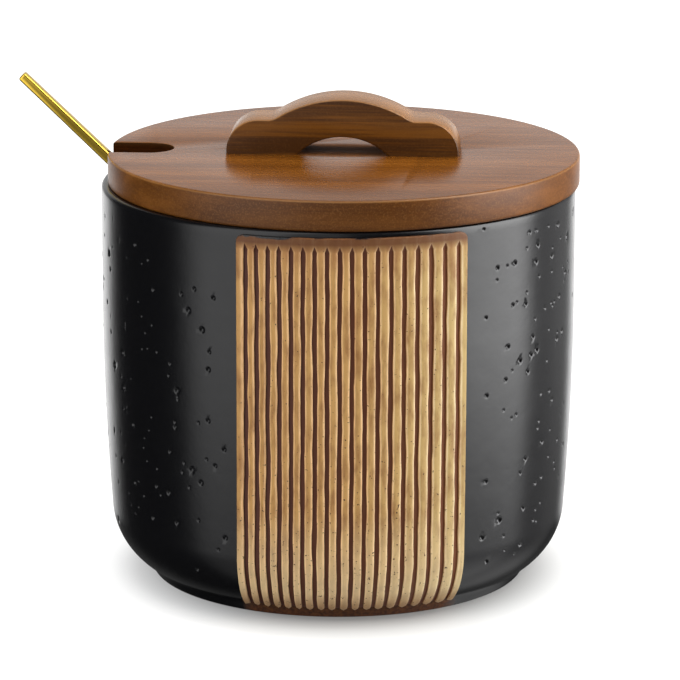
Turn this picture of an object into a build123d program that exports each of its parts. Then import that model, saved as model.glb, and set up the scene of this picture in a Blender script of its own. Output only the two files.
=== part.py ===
from build123d import *

import os
from math import asin, cos, degrees, radians, sin, sqrt

# Salt jar: a glazed stoneware pot with a ribbed clay panel on its front, a wooden lid that lifts off,
# and a metal spoon that leans out through a notch in the lid's edge.
# Millimetres and degrees. +Z is up, the panel faces -Y, and the origin is the centre of the foot ring
# on the surface that the jar stands on.

# ---------------------------------------------------------------------------------------------
# Driving dimensions
# ---------------------------------------------------------------------------------------------

# Jar: straight above, drawn in slowly to the hip, turned under to a step above a low foot ring
jar_radius = 52.0  # outside of the straight upper wall
jar_height = 87.4  # top of the rim
wall = 4.6  # wall thickness, measured square to the wall
straight_from = 62.0  # height above which the wall is straight
hip_draw = 1.8  # how far the wall is drawn in at the hip
hip_height = 14.5  # height of the hip, where the belly turns under
belly_draw = 8.5  # how far the belly is drawn in where it ends, above the foot
foot_height = 3.0
foot_step = 1.1  # how far the foot steps in from the belly
foot_draft = 1.0  # how much narrower the foot is on the table than at its top
foot_ring_width = 4.6
foot_recess = 2.0  # how far the underside lies above the table, inside the foot ring
foot_round = 0.6
floor_thickness = 5.6  # clay between the underside and the floor inside
well_round = 6.5  # inside corner between the wall and the floor
well_straight = 0.3  # least straight wall left between that corner and the hip
rim_round_outside = 1.1
rim_round_inside = 2.4
rim_flat = 0.1  # least flat left on the rim between the two roundings

# Ribbed panel: a thin slab of clay on the wall, with upright grooves combed into it
panel_width = 48.9  # seen from the front
panel_proud = 0.8
panel_rim_gap = 0.1  # between the panel's top edge and the rounding of the rim
panel_corner = 1.5
groove_count = 18
groove_width = 1.0
groove_depth = 0.6
groove_point = 1.2  # height of a groove's pointed upper end
edge_rib = 1.4  # width of the two outermost ribs, seen from the front
comb_drift = 0.145  # how much the combed spacing opens from left to right, as a share
plain_band = 1.85  # ungrooved strip along the panel's top edge

# Lid: a wooden disc on the rim, with a smaller disc below it that keeps it in place
lid_inset = 0.3  # how much smaller the lid is than the jar, all round
lid_thickness = 6.7
lid_ease = 0.6  # rounding of the lid's two rims
lid_turn = -7.0  # how the lid is turned on the jar, seen from above
spigot_depth = 4.5
spigot_play = 1.7  # between the spigot and the jar's inner wall when centred
spigot_gap = 0.55  # what is left of that play on the side where the lid lies closest
spigot_ease = 0.8
notch_width = 10.9
notch_tip_gap = 4.35  # between the stem and the notch's round end, at the spigot's lower face

# Handle: an arched bar of wood across the lid, in line with the notch
handle_length = 50.8
handle_thickness = 11.5
handle_height = 12.35
shoulder_height = 7.7
shoulder_round = 7.0
crown_radius = 27.0  # of the arched back
crown_blend = 4.0  # hollow where the crown meets a shoulder
shoulder_flat = 0.2  # least flat left between a shoulder's rounding and that hollow
arch_height = 4.0  # finger gap below the handle
arch_radius = 14.4
handle_ease = 0.3

# Screws: two, from below, through the spigot and the disc into the handle's feet
screw_spacing = 36.6
screw_radius = 1.5
screw_head_radius = 3.2
screw_head_height = 2.0
screw_bite = 5.0  # how far a screw goes up into the handle
screw_tip = 1.2
screw_clearance = 0.2  # round the shank, in the spigot and the disc
drive_width = 0.8  # of the cross in the head
drive_span = 3.4
drive_depth = 1.0

# Spoon: a slim bar with a round bowl, leaning on the inner edge of the rim
spoon_length = 145.7
spoon_lean = 46.2  # from upright
spoon_gap = 0.3  # kept between the spoon and the jar
spoon_side_gap = 1.6  # between the stem and the notch's back wall
stem_width = 3.4
stem_end_width = 2.8
stem_thickness = 2.2
stem_end_thickness = 2.0
bowl_radius = 10.5
bowl_depth = 8.0
bowl_wall = 1.0
neck_length = 9.0
neck_width = 6.5
neck_thickness = 1.4

near = 0.01  # how close an edge or a corner lies to the place it is looked for

# ---------------------------------------------------------------------------------------------
# Derived sizes and places
# ---------------------------------------------------------------------------------------------

inner_radius = jar_radius - wall
hip_radius = jar_radius - hip_draw
belly_end_radius = jar_radius - belly_draw
foot_top_radius = belly_end_radius - foot_step
foot_radius = foot_top_radius - foot_draft
foot_inner_radius = foot_radius - foot_ring_width
floor_height = foot_recess + floor_thickness

# A wall too thin for both roundings of its rim gets smaller ones
rim_share = min(1.0, (wall - rim_flat) / (rim_round_outside + rim_round_inside))
rim_outside = rim_round_outside * rim_share
rim_inside = rim_round_inside * rim_share

panel_top = jar_height - rim_outside - panel_rim_gap
panel_side = degrees(asin(panel_width / 2 / (hip_radius + panel_proud)))

lid_radius = jar_radius - lid_inset
lid_top = jar_height + lid_thickness
lid_shift = spigot_play - spigot_gap
spigot_radius = inner_radius - spigot_play
spigot_bottom = jar_height - spigot_depth

# The handle's crown runs into each shoulder by a hollow that ends at `blend_foot` from the middle, and
# a shoulder too short for its rounding gets a smaller one
crown_rise = handle_height - shoulder_height
blended_radius = crown_radius + crown_blend
blend_foot = sqrt(blended_radius**2 - (blended_radius - crown_rise) ** 2)
shoulder_room = min(handle_length / 2 - blend_foot, shoulder_height) - shoulder_flat
shoulder_rounding = min(shoulder_round, shoulder_room)

# The lid and the spoon share one direction: -X of `turned` runs along the notch, from the jar's axis
turned = Rot(0, 0, lid_turn)
lid_place = turned * Pos(lid_shift, 0, 0)

lean = radians(spoon_lean)
spoon_offset = notch_width / 2 - spoon_side_gap - stem_width / 2

# Directions in the `turned` frame: up along the stem, and out of the spoon's upper face
stem_up = Vector(-sin(lean), 0, cos(lean))
spoon_face = Vector(cos(lean), 0, sin(lean))

# The stem touches the rounded inner edge of the rim, but for the gap
rim_round_centre = Vector(-(inner_radius + rim_inside), spoon_offset, jar_height - rim_inside)
rim_point = rim_round_centre + spoon_face * (rim_inside + spoon_gap + stem_thickness / 2)

# The bowl is a cap of a ball, and the spoon goes down until that ball meets the jar's floor or its far
# wall, whichever comes first, but for the gap. `ball_start` is its centre if the bowl were at the rim.
ball_radius = (bowl_radius**2 + bowl_depth**2) / (2 * bowl_depth)
bowl_lift = spoon_face * (stem_thickness / 2)
ball_start = rim_point + bowl_lift + spoon_face * (ball_radius - bowl_depth)
ball_reach = hip_radius - wall - spoon_gap - ball_radius
down_to_floor = (ball_start.Z - floor_height - spoon_gap - ball_radius) / cos(lean)
across_to_wall = (sqrt(ball_reach**2 - ball_start.Y**2) - ball_start.X) / sin(lean)
stem_below_rim = min(down_to_floor, across_to_wall)
bowl_axis_point = rim_point - stem_up * stem_below_rim
stem_above_rim = spoon_length - bowl_radius - stem_below_rim

# The notch is as deep as the stem needs where it passes the spigot's lower face
stem_at_spigot = rim_point.X + (rim_point.Z - spigot_bottom) * sin(lean) / cos(lean)
stem_half_level = stem_thickness / 2 / cos(lean)
notch_tip = lid_shift - stem_at_spigot - stem_half_level - notch_tip_gap


# ---------------------------------------------------------------------------------------------
# Jar and panel
# ---------------------------------------------------------------------------------------------


def spun(face, angle=360.0):
    """Turn a section, drawn as radius and height, about the jar's axis."""
    return revolve(Plane.XZ * face, axis=Axis.Z, revolution_arc=angle)


def belly_arcs(out=0.0):
    """The drawn-in wall and the belly below it, `out` outside the jar's own surface, from the top down."""
    barrel = TangentArc((jar_radius, straight_from), (hip_radius, hip_height), tangent=(0, -1))
    belly = TangentArc(barrel @ 1, (belly_end_radius, foot_height), tangent=barrel % 1)
    if out == 0.0:
        return barrel, belly
    hip = barrel @ 1 + (barrel @ 1 - barrel.arc_center).normalized() * out
    end = belly @ 1 + (belly @ 1 - belly.arc_center).normalized() * out
    outer_barrel = TangentArc((jar_radius + out, straight_from), hip, tangent=(0, -1))
    return outer_barrel, TangentArc(hip, end, tangent=outer_barrel % 1)


def jar_blank():
    """The jar's outside as a solid, with its foot ring and rounded rim."""
    barrel, belly = belly_arcs()
    edges = [
        Line((0, foot_recess), (0, jar_height)),
        Line((0, jar_height), (jar_radius, jar_height)),
        Line((jar_radius, jar_height), (jar_radius, straight_from)),
        barrel,
        belly,
        Line((belly_end_radius, foot_height), (foot_top_radius, foot_height)),
        Line((foot_top_radius, foot_height), (foot_radius, 0)),
        Line((foot_radius, 0), (foot_inner_radius, 0)),
        Line((foot_inner_radius, 0), (foot_inner_radius, foot_recess)),
        Line((foot_inner_radius, foot_recess), (0, foot_recess)),
    ]
    face = make_face(Curve() + edges)
    on_table = [v for v in face.vertices() if v.Y < near]
    face = fillet(on_table, foot_round)
    return spun(face)


def jar_hollow():
    """The room inside the jar, with its rounded floor corner, open at the top."""
    barrel, belly = belly_arcs(-wall)
    down = barrel @ 1
    open_top = jar_height + wall
    edges = [
        Line((0, floor_height), (0, open_top)),
        Line((0, open_top), (inner_radius, open_top)),
        Line((inner_radius, open_top), (inner_radius, straight_from)),
        barrel,
        Line(down, (down.X, floor_height)),
        Line((down.X, floor_height), (0, floor_height)),
    ]
    face = make_face(Curve() + edges)
    corner = [v for v in face.vertices() if v.Y < floor_height + near and v.X > near]
    return spun(fillet(corner, min(well_round, down.Y - floor_height - well_straight)))


def rim_edge(jar, radius):
    """The circle of this radius on top of the rim."""
    level = [e for e in jar.edges().filter_by(GeomType.CIRCLE) if abs(e.center().Z - jar_height) < near]
    return [e for e in level if abs(e.radius - radius) < near]


def make_jar():
    """The glazed pot."""
    jar = jar_blank() - jar_hollow()
    jar = fillet(rim_edge(jar, inner_radius), rim_inside)
    return fillet(rim_edge(jar, jar_radius), rim_outside)


def wall_skin(inner, outer, top):
    """Section of a skin on the jar's wall between two distances from it, from `top` to the belly's end."""
    inner_barrel, inner_belly = belly_arcs(inner)
    outer_barrel, outer_belly = belly_arcs(outer)
    edges = [
        Line((jar_radius + inner, top), (jar_radius + outer, top)),
        Line((jar_radius + outer, top), outer_barrel @ 0),
        outer_barrel,
        outer_belly,
        Line(outer_belly @ 1, inner_belly @ 1),
        inner_belly,
        inner_barrel,
        Line(inner_barrel @ 0, (jar_radius + inner, top)),
    ]
    return make_face(Curve() + edges)


def front_skin(face):
    """A skin section turned round the front of the jar, as far as the panel's sides at the hip."""
    return Rot(0, 0, -90 - panel_side) * spun(face, 2 * panel_side)


def front_prism(view):
    """A front view, drawn as X and height, as a prism from the jar's axis out past the panel."""
    return extrude(Plane.XZ * view, 2 * jar_radius)


def groove_places():
    """X of each groove's middle line."""
    reach = panel_width / 2 - edge_rib - groove_width / 2
    for i in range(groove_count):
        share = i / (groove_count - 1)
        yield 2 * reach * (share * (1 - comb_drift) + comb_drift * share**2) - reach


def groove_view(x):
    """One groove seen from the front: upright, with a pointed upper end."""
    top = panel_top - plain_band
    side = groove_width / 2
    shoulder = top - groove_point
    corners = [(x - side, 0), (x + side, 0), (x + side, shoulder), (x, top), (x - side, shoulder)]
    return make_face(Polyline(corners, close=True))


def make_relief_panel():
    """The clay slab on the jar's front, with rounded top corners and combed grooves.

    Its sides run straight down to the hip, and turn in towards the jar's axis with the belly below it.
    """
    outline = Pos(0, panel_top / 2) * Rectangle(panel_width, panel_top)
    outline = fillet(outline.vertices().group_by(Axis.Y)[-1], panel_corner)
    slab = front_skin(wall_skin(0.0, panel_proud, panel_top)) & front_prism(outline)
    comb = Sketch() + [groove_view(x) for x in groove_places()]
    carved = front_skin(wall_skin(panel_proud - groove_depth, 2 * panel_proud, panel_top))
    return slab - (carved & front_prism(comb))


# ---------------------------------------------------------------------------------------------
# Lid
# ---------------------------------------------------------------------------------------------


def notch_cut():
    """The U-shaped slot through the lid's left edge, as the solid it takes away."""
    round_end = Circle(notch_width / 2)
    run_out = Pos(-lid_radius, 0) * Rectangle(2 * lid_radius, notch_width)
    slot = Pos(-notch_tip - notch_width / 2, 0) * (round_end + run_out)
    height = lid_top - spigot_bottom
    return Pos(0, 0, spigot_bottom - height / 2) * extrude(slot, 2 * height)


def screw_spots():
    """The two screws' places in the lid's own frame."""
    return [Pos(-screw_spacing / 2, 0, 0), Pos(screw_spacing / 2, 0, 0)]


def screw_shape(grow=0.0):
    """A countersunk screw standing on its head at the spigot's lower face, its shank grown by `grow`."""
    up = (Align.CENTER, Align.CENTER, Align.MIN)
    shank_length = spigot_depth + lid_thickness + screw_bite - screw_tip
    head = Cone(screw_head_radius, screw_radius, screw_head_height, align=up)
    shank = Cylinder(screw_radius + grow, shank_length, align=up)
    tip = Pos(0, 0, shank_length) * Cone(screw_radius + grow, screw_radius / 4, screw_tip, align=up)
    return Pos(0, 0, spigot_bottom) * (head + shank + tip)


def make_lid_disc():
    """The lid's upper disc, with its notch and the two screw holes."""
    disc = Pos(0, 0, jar_height + lid_thickness / 2) * Cylinder(lid_radius, lid_thickness)
    disc = fillet(disc.edges().filter_by(GeomType.CIRCLE), lid_ease)
    disc -= notch_cut()
    for spot in screw_spots():
        disc -= spot * screw_shape(screw_clearance)
    return lid_place * disc


def make_lid_spigot():
    """The lower disc that drops into the jar's mouth, with the notch and the countersunk holes."""
    spigot = Pos(0, 0, jar_height - spigot_depth / 2) * Cylinder(spigot_radius, spigot_depth)
    spigot = chamfer(spigot.edges().group_by(Axis.Z)[0], spigot_ease)
    spigot -= notch_cut()
    for spot in screw_spots():
        spigot -= spot * screw_shape(screw_clearance)
    return lid_place * spigot


def handle_outline():
    """The handle seen from the front, standing on its own base line."""
    block = Pos(0, shoulder_height / 2) * Rectangle(handle_length, shoulder_height)
    block = fillet(block.vertices().group_by(Axis.Y)[-1], shoulder_rounding)
    crown = Pos(0, handle_height - crown_radius) * Circle(crown_radius)
    crown &= Pos(0, handle_height / 2) * Rectangle(handle_length, handle_height)
    outline = block + crown
    blends = [
        v
        for v in outline.vertices()
        if abs(v.Y - shoulder_height) < near and abs(v.X) < blend_foot
    ]
    outline = fillet(blends, crown_blend)
    return outline - Pos(0, arch_height - arch_radius) * Circle(arch_radius)


def make_lid_handle():
    """The arched handle, with eased edges and a blind screw hole in each foot."""
    bar = extrude(Plane.XZ * handle_outline(), handle_thickness / 2, both=True)
    eased = [e for e in bar.edges() if abs(abs(e.center().Y) - handle_thickness / 2) < near]
    bar = fillet([e for e in eased if e.bounding_box().max.Z > near], handle_ease)
    bar = Pos(0, 0, lid_top) * bar
    for spot in screw_spots():
        bar -= spot * screw_shape()
    return lid_place * bar


def make_handle_screws():
    """The two screws, with a cross in each head."""
    screws = []
    for spot in screw_spots():
        screw = spot * screw_shape()
        for span, width in ((drive_span, drive_width), (drive_width, drive_span)):
            screw -= spot * Pos(0, 0, spigot_bottom) * Box(span, width, 2 * drive_depth)
        screws.append(lid_place * screw)
    return Compound(children=screws)


# ---------------------------------------------------------------------------------------------
# Spoon
# ---------------------------------------------------------------------------------------------


def stem_plane(along):
    """Plane square to the stem, `along` above the rim point: local X across the spoon, Y out of its face."""
    across = spoon_face.cross(stem_up)
    return Plane(origin=rim_point + stem_up * along, x_dir=across, z_dir=stem_up)


def make_bowl():
    """The round bowl, a cap of a hollow ball, with its rim level with the stem's upper face."""
    centre = Vector(0, ball_radius - bowl_depth)
    inner_ball = ball_radius - bowl_wall
    section = Circle(ball_radius) - Circle(inner_ball)
    section = Pos(0, centre.Y) * section
    section &= Pos(bowl_radius / 2, -bowl_depth / 2) * Rectangle(bowl_radius, bowl_depth)
    cap = revolve(Plane.XZ * section, axis=Axis.Z)
    return Plane(origin=bowl_axis_point + bowl_lift, x_dir=stem_up, z_dir=spoon_face) * cap


def make_spoon():
    """Stem, neck and bowl in one, placed where it leans."""
    full = Rectangle(stem_width, stem_thickness)
    end = Rectangle(stem_end_width, stem_end_thickness)
    bowl_edge = -stem_below_rim + bowl_radius
    neck_top = bowl_edge + neck_length
    outside = loft([stem_plane(0) * full, stem_plane(stem_above_rim) * end])
    inside = extrude(stem_plane(neck_top) * full, -neck_top)
    blade = Pos(0, (stem_thickness - neck_thickness) / 2) * Rectangle(neck_width, neck_thickness)
    neck = loft([stem_plane(bowl_edge - bowl_wall) * blade, stem_plane(neck_top) * full])
    return turned * (make_bowl() + neck + inside + outside)


# ---------------------------------------------------------------------------------------------
# Files
# ---------------------------------------------------------------------------------------------

pieces = {
    "jar": make_jar(),
    "relief_panel": make_relief_panel(),
    "lid_disc": make_lid_disc(),
    "lid_spigot": make_lid_spigot(),
    "lid_handle": make_lid_handle(),
    "handle_screws": make_handle_screws(),
    "spoon": make_spoon(),
}

os.makedirs("parts", exist_ok=True)
for name, piece in pieces.items():
    export_step(piece, f"parts/{name}.step")

print(f"spoon end {stem_above_rim:.2f} above the rim point, notch tip {notch_tip:.2f} from the lid's centre")
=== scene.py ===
import logging
from collections.abc import Callable, Iterator, Sequence
from contextlib import contextmanager
from dataclasses import dataclass
from enum import Enum
from math import asin, atan2, cos, degrees, exp, pi, radians, sin, sqrt, tau
from random import Random

import bmesh
import bpy
from mathutils import Matrix, Quaternion, Vector, kdtree, noise


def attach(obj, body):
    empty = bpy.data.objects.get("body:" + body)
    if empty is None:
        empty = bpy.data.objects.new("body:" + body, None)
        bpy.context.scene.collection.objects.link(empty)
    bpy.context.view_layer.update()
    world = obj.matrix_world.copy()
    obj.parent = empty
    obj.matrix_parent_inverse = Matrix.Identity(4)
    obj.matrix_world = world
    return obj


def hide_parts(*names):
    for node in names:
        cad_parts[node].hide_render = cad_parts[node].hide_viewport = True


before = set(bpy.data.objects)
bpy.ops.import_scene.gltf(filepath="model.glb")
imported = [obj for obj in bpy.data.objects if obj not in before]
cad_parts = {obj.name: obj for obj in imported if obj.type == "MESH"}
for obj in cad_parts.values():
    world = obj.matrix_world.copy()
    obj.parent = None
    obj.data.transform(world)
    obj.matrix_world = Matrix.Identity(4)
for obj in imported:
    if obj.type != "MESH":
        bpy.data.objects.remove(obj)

log = logging.getLogger("salt_jar")

MM = 0.001
TINY = 1e-6  # metres, within which two places are one
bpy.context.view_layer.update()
X_AXIS, Y_AXIS, Z_AXIS = (1.0, 0.0, 0.0), (0.0, 1.0, 0.0), (0.0, 0.0, 1.0)
WHITE = (1.0, 1.0, 1.0, 1.0)

Point = tuple[float, float]
Place = tuple[float, float, float]
Piece = bpy.types.Object
Tree = bpy.types.NodeTree
Node = bpy.types.Node
Source = bpy.types.Node | bpy.types.NodeSocket
Stops = Sequence[tuple[float, str]]
Inputs = dict[str | int, object]


class Body(Enum):
    """The three bodies that move against each other."""

    JAR = "jar"
    LID = "lid"
    SPOON = "spoon"


class Slot(Enum):
    """Material slot names, passed along with each new piece but not read."""

    GLAZE = "black_glaze"
    CLAY = "combed_clay"
    WOOD = "dark_wood"
    BRASS = "spoon_brass"


class Kind(Enum):
    """What is picked in edit mode, by the name of its list in a mesh."""

    VERT = "verts"
    EDGE = "edges"
    FACE = "faces"


# The bench: picking and shaping with Blender's own operators


def take(*pieces: Piece) -> None:
    """Selects these pieces alone and makes the first one active.

    Args:
        pieces: The objects to work on.
    """
    bpy.ops.object.select_all(action="DESELECT")
    for piece in pieces:
        piece.select_set(True)
    bpy.context.view_layer.objects.active = pieces[0]


def named(name: str) -> Piece:
    """Names the object that was just added.

    Args:
        name: Name for the object and its data.

    Returns:
        The object.
    """
    piece = bpy.context.object
    piece.name = piece.data.name = name
    return piece


def added(name: str, shape: str, scale: Place = (1.0, 1.0, 1.0), **sizes: object) -> Piece:
    """Adds a primitive, selected alone, and settles its place and scale in its mesh.

    Args:
        name: Name for the object and its mesh.
        shape: The primitive, such as plane.
        scale: Its scale in its own frame.
        sizes: Its size and place, as its operator takes them.

    Returns:
        The object.
    """
    bpy.ops.object.select_all(action="DESELECT")
    getattr(bpy.ops.mesh, f"primitive_{shape}_add")(**sizes)
    piece = named(name)
    piece.scale = scale
    bpy.ops.object.transform_apply()
    return piece


@contextmanager
def editing(piece: Piece, kind: Kind = Kind.FACE) -> Iterator[None]:
    """Opens a piece in edit mode, and closes it again.

    Args:
        piece: The object to edit.
        kind: What is picked.
    """
    take(piece)
    bpy.ops.object.mode_set(mode="EDIT")
    bpy.ops.mesh.select_mode(type=kind.name)
    yield
    bpy.ops.object.mode_set(mode="OBJECT")


def pick(piece: Piece, kind: Kind, test: Callable[..., bool]) -> None:
    """Selects, in edit mode, what passes the test.

    Args:
        piece: The object in edit mode.
        kind: What is picked.
        test: Takes a vertex, an edge or a face.
    """
    bpy.ops.mesh.select_all(action="DESELECT")
    mesh = bmesh.from_edit_mesh(piece.data)
    mesh.normal_update()
    for part in getattr(mesh, kind.value):
        part.select = test(part)
    mesh.select_flush_mode()
    bmesh.update_edit_mesh(piece.data)


def pick_all() -> None:
    """Selects the whole mesh in edit mode."""
    bpy.ops.mesh.select_all(action="SELECT")


def face_outwards() -> None:
    """Turns every face of the mesh in edit mode outwards."""
    pick_all()
    bpy.ops.mesh.normals_make_consistent(inside=False)


def extrude(way: Vector | Place) -> None:
    """Extrudes what is selected and moves the new part this way."""
    bpy.ops.mesh.extrude_region_move(TRANSFORM_OT_translate={"value": way})


def cut(axis: Place, distance: float, **settings: object) -> None:
    """Cuts what is selected square to an axis.

    Args:
        axis: The axis, a unit long.
        distance: How far along it the cut lies.
        settings: More of the operator's settings.
    """
    bpy.ops.mesh.bisect(plane_co=Vector(axis) * distance, plane_no=axis, **settings)


def score(columns: Sequence[float], rows: Sequence[float], choose: Callable[[], None]) -> None:
    """Cuts a flat upright piece in edit mode into columns and rows.

    Args:
        columns: Where to cut across it, in millimetres.
        rows: Where to cut up it.
        choose: Selects what a cut goes through.
    """
    for axis, places in ((X_AXIS, columns), (Z_AXIS, rows)):
        for place in places:
            choose()
            cut(axis, place * MM)


def drawn_line(name: str, points: Sequence[Vector]) -> Piece:
    """Draws an open line by extruding one vertex from point to point.

    Args:
        name: Name of the new piece.
        points: The line's points, in order.

    Returns:
        The object, whose mesh has edges only.
    """
    line = added(name, "plane", size=MM, location=points[0])
    with editing(line, Kind.VERT):
        pick_all()
        bpy.ops.mesh.merge(type="CENTER")
        for start, end in zip(points, points[1:]):
            extrude(end - start)
    return line


def clamped(value: float) -> float:
    """The value, held between zero and one."""
    return min(1.0, max(0.0, value))


def between(start: float, end: float, share: float) -> float:
    """The value that lies that share of the way from start to end."""
    return start + (end - start) * share


def arc(centre: Point, radius: float, start: float, end: float, steps: int) -> list[Point]:
    """Points round an arc.

    Args:
        centre: Its centre.
        radius: Its radius.
        start: First angle in degrees, from the first axis towards the second.
        end: Last angle in degrees.
        steps: Number of steps.

    Returns:
        The points, ends included.
    """
    turns = [radians(start + (end - start) * i / steps) for i in range(steps + 1)]
    return [(centre[0] + radius * cos(t), centre[1] + radius * sin(t)) for t in turns]


def applied(piece: Piece, kind: str, **settings: object) -> None:
    """Adds a modifier, gives it its settings and applies it.

    Args:
        piece: The object.
        kind: The modifier's type.
        settings: The modifier's own settings, by name.
    """
    take(piece)
    modifier = piece.modifiers.new(kind.title(), kind)
    for key, value in settings.items():
        setattr(modifier, key, value)
    bpy.ops.object.modifier_apply(modifier=modifier.name)


def eased(piece: Piece, width: float, segments: int, angle: float) -> None:
    """Rounds a piece's edges.

    Args:
        piece: The object.
        width: Of the rounding, in millimetres.
        segments: Faces across it.
        angle: In degrees, from which an edge counts as sharp.
    """
    sharp = {"limit_method": "ANGLE", "angle_limit": radians(angle)}
    applied(piece, "BEVEL", width=width * MM, segments=segments, **sharp)


def smooth(piece: Piece, angle: float) -> None:
    """Shades a piece smooth, but for edges sharper than the angle, and settles its place in its mesh.

    Args:
        piece: The object.
        angle: In degrees.
    """
    take(piece)
    bpy.ops.object.transform_apply()
    bpy.ops.object.shade_smooth_by_angle(angle=radians(angle))


def settle(piece: Piece, body: Body, slot: Slot, *nodes: str) -> None:
    """Hands a finished piece to its body and hides the nodes that it stands for.

    Args:
        piece: The finished object.
        body: The body that it rides on.
        slot: Not used.
        nodes: CAD nodes that it replaces.
    """
    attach(piece, body.value)
    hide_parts(*nodes)
    log.info("%s: %d faces, on %s, for %s", piece.name, len(piece.data.polygons), body.value, list(nodes))


# Finishes


def linear(colour: str) -> tuple[float, float, float, float]:
    """Turns an sRGB hex colour into Blender's linear one.

    Args:
        colour: Such as "#c09a68".

    Returns:
        Red, green, blue and an alpha of one.
    """
    parts = [int(colour[i : i + 2], 16) / 255 for i in (1, 3, 5)]
    red, green, blue = [p / 12.92 if p <= 0.04045 else ((p + 0.055) / 1.055) ** 2.4 for p in parts]
    return red, green, blue, 1.0


def plug(tree: Tree, node: Node, inputs: Inputs) -> None:
    """Sets or links a node's inputs.

    Args:
        tree: The node tree.
        node: The node whose inputs are set.
        inputs: For each input by name or number, its value, or the node or the socket that feeds it.
    """
    for key, value in inputs.items():
        if isinstance(value, bpy.types.Node):
            value = next(output for output in value.outputs if output.enabled)
        if isinstance(value, bpy.types.NodeSocket):
            tree.links.new(value, node.inputs[key])
        else:
            node.inputs[key].default_value = value


def add_node(tree: Tree, kind: str, inputs: Inputs | None = None, stops: Stops = (), **settings: object) -> Node:
    """Adds a node with its settings, its values and its links.

    Args:
        tree: The node tree.
        kind: The node's type without the word ShaderNode.
        inputs: What each input gets, as in `plug`.
        stops: For a colour ramp, each stop's place and colour.
        settings: The node's own settings, by name.

    Returns:
        The node.
    """
    node = tree.nodes.new("ShaderNode" + kind)
    for key, value in settings.items():
        setattr(node, key, value)
    plug(tree, node, inputs or {})
    if stops:
        elements = node.color_ramp.elements
        while len(elements) < len(stops):
            elements.new(1.0)
        for element, (place, colour) in zip(elements, stops):
            element.position = place
            element.color = linear(colour)
    return node


def blank_material(name: str) -> tuple[bpy.types.Material, Tree, Node]:
    """Makes a material with its Principled shader and nothing else.

    Args:
        name: The real material's name.

    Returns:
        The material, its node tree and the shader.
    """
    material = bpy.data.materials.new(name)
    material.use_nodes = True
    tree = material.node_tree
    return material, tree, tree.nodes["Principled BSDF"]


@dataclass(frozen=True)
class Marks:
    """Random marks of one size, such as streaks, pores or grit."""

    size: float  # mm
    detail: float

    def of(self, place: Source) -> Inputs:
        """What a noise takes to draw them at that place."""
        return {"Vector": place, "Scale": 1 / (self.size * MM), "Detail": self.detail}


@dataclass(frozen=True)
class Ramp:
    """A change from a low value to a high one, between two values of what drives it."""

    start: float
    full: float
    low: float = 0.0
    high: float = 1.0

    def of(self, driver: Source, unit: float = 1.0) -> Inputs:
        """What a range takes to follow that driver, with the driver's values given in that unit."""
        return {0: driver, 1: self.start * unit, 2: self.full * unit, 3: self.low, 4: self.high}


@dataclass(frozen=True)
class Relief:
    """How strongly marks stand out of a surface."""

    strength: float
    depth: float  # mm

    def of(self, height: Source) -> Inputs:
        """What a bump takes to raise them by that height."""
        return {"Strength": self.strength, "Distance": self.depth * MM, "Height": height}


@dataclass(frozen=True)
class StonewareGlaze:
    """Satin black glaze, dipped and fired: broad soft reflections, pinholes, bare clay at the foot."""

    colour: str = "#0d0d0f"
    foot_clay: Stops = ((0.35, "#3c1e0c"), (0.75, "#70421e"))  # over the peel
    foot_roughness: float = 0.8
    waves: Marks = Marks(5.0, 3.0)  # the glaze's slow ripple
    peel: Marks = Marks(0.7, 4.0)  # its orange peel
    roughness: Ramp = Ramp(0.0, 1.0, 0.19, 0.26)  # over the waves
    bare_top: Ramp = Ramp(3.2, 3.7, 1.0, 0.0)  # mm up, where the bare clay below the panel ends
    bare_side: Ramp = Ramp(22.0, 25.0, 1.0, 0.0)  # mm to each side, where it ends
    bare_front: float = -20.0  # mm, behind which all is glazed
    ragged: float = 4.0  # mm, how far the bare clay's sides wander
    wave_relief: Relief = Relief(0.08, 0.4)
    peel_relief: Relief = Relief(0.07, 0.1)

    def make(self) -> bpy.types.Material:
        """Builds the material.

        Returns:
            The material.
        """
        material, tree, shader = blank_material("black_glazed_stoneware")
        place = add_node(tree, "TexCoord").outputs["Object"]
        x, y, z = add_node(tree, "SeparateXYZ", {0: place}).outputs
        waves, peel = (add_node(tree, "TexNoise", marks.of(place)) for marks in (self.waves, self.peel))
        sheen = add_node(tree, "MapRange", self.roughness.of(waves))
        # Below the panel the foot is bare: a band of clay, ragged at both ends and only in front
        bare = add_node(tree, "MapRange", self.bare_top.of(z, MM))
        aside = add_node(tree, "Math", {0: x}, operation="ABSOLUTE")
        wander = {0: waves, 1: self.ragged * MM, 2: aside}
        ragged = add_node(tree, "Math", wander, operation="MULTIPLY_ADD")
        middle = add_node(tree, "MapRange", self.bare_side.of(ragged, MM))
        front = add_node(tree, "Math", {0: y, 1: self.bare_front * MM}, operation="LESS_THAN")
        for share in (middle, front):
            bare = add_node(tree, "Math", {0: bare, 1: share}, operation="MULTIPLY")
        clay = add_node(tree, "ValToRGB", {0: peel}, self.foot_clay)
        colour = add_node(tree, "Mix", {0: bare, 6: linear(self.colour), 7: clay}, data_type="RGBA")
        rough = add_node(tree, "Mix", {0: bare, 2: sheen, 3: self.foot_roughness})
        slow = add_node(tree, "Bump", self.wave_relief.of(waves))
        fine = add_node(tree, "Bump", self.peel_relief.of(peel) | {"Normal": slow})
        plug(tree, shader, {"Base Color": colour, "Roughness": rough, "Normal": fine})
        return material


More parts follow.
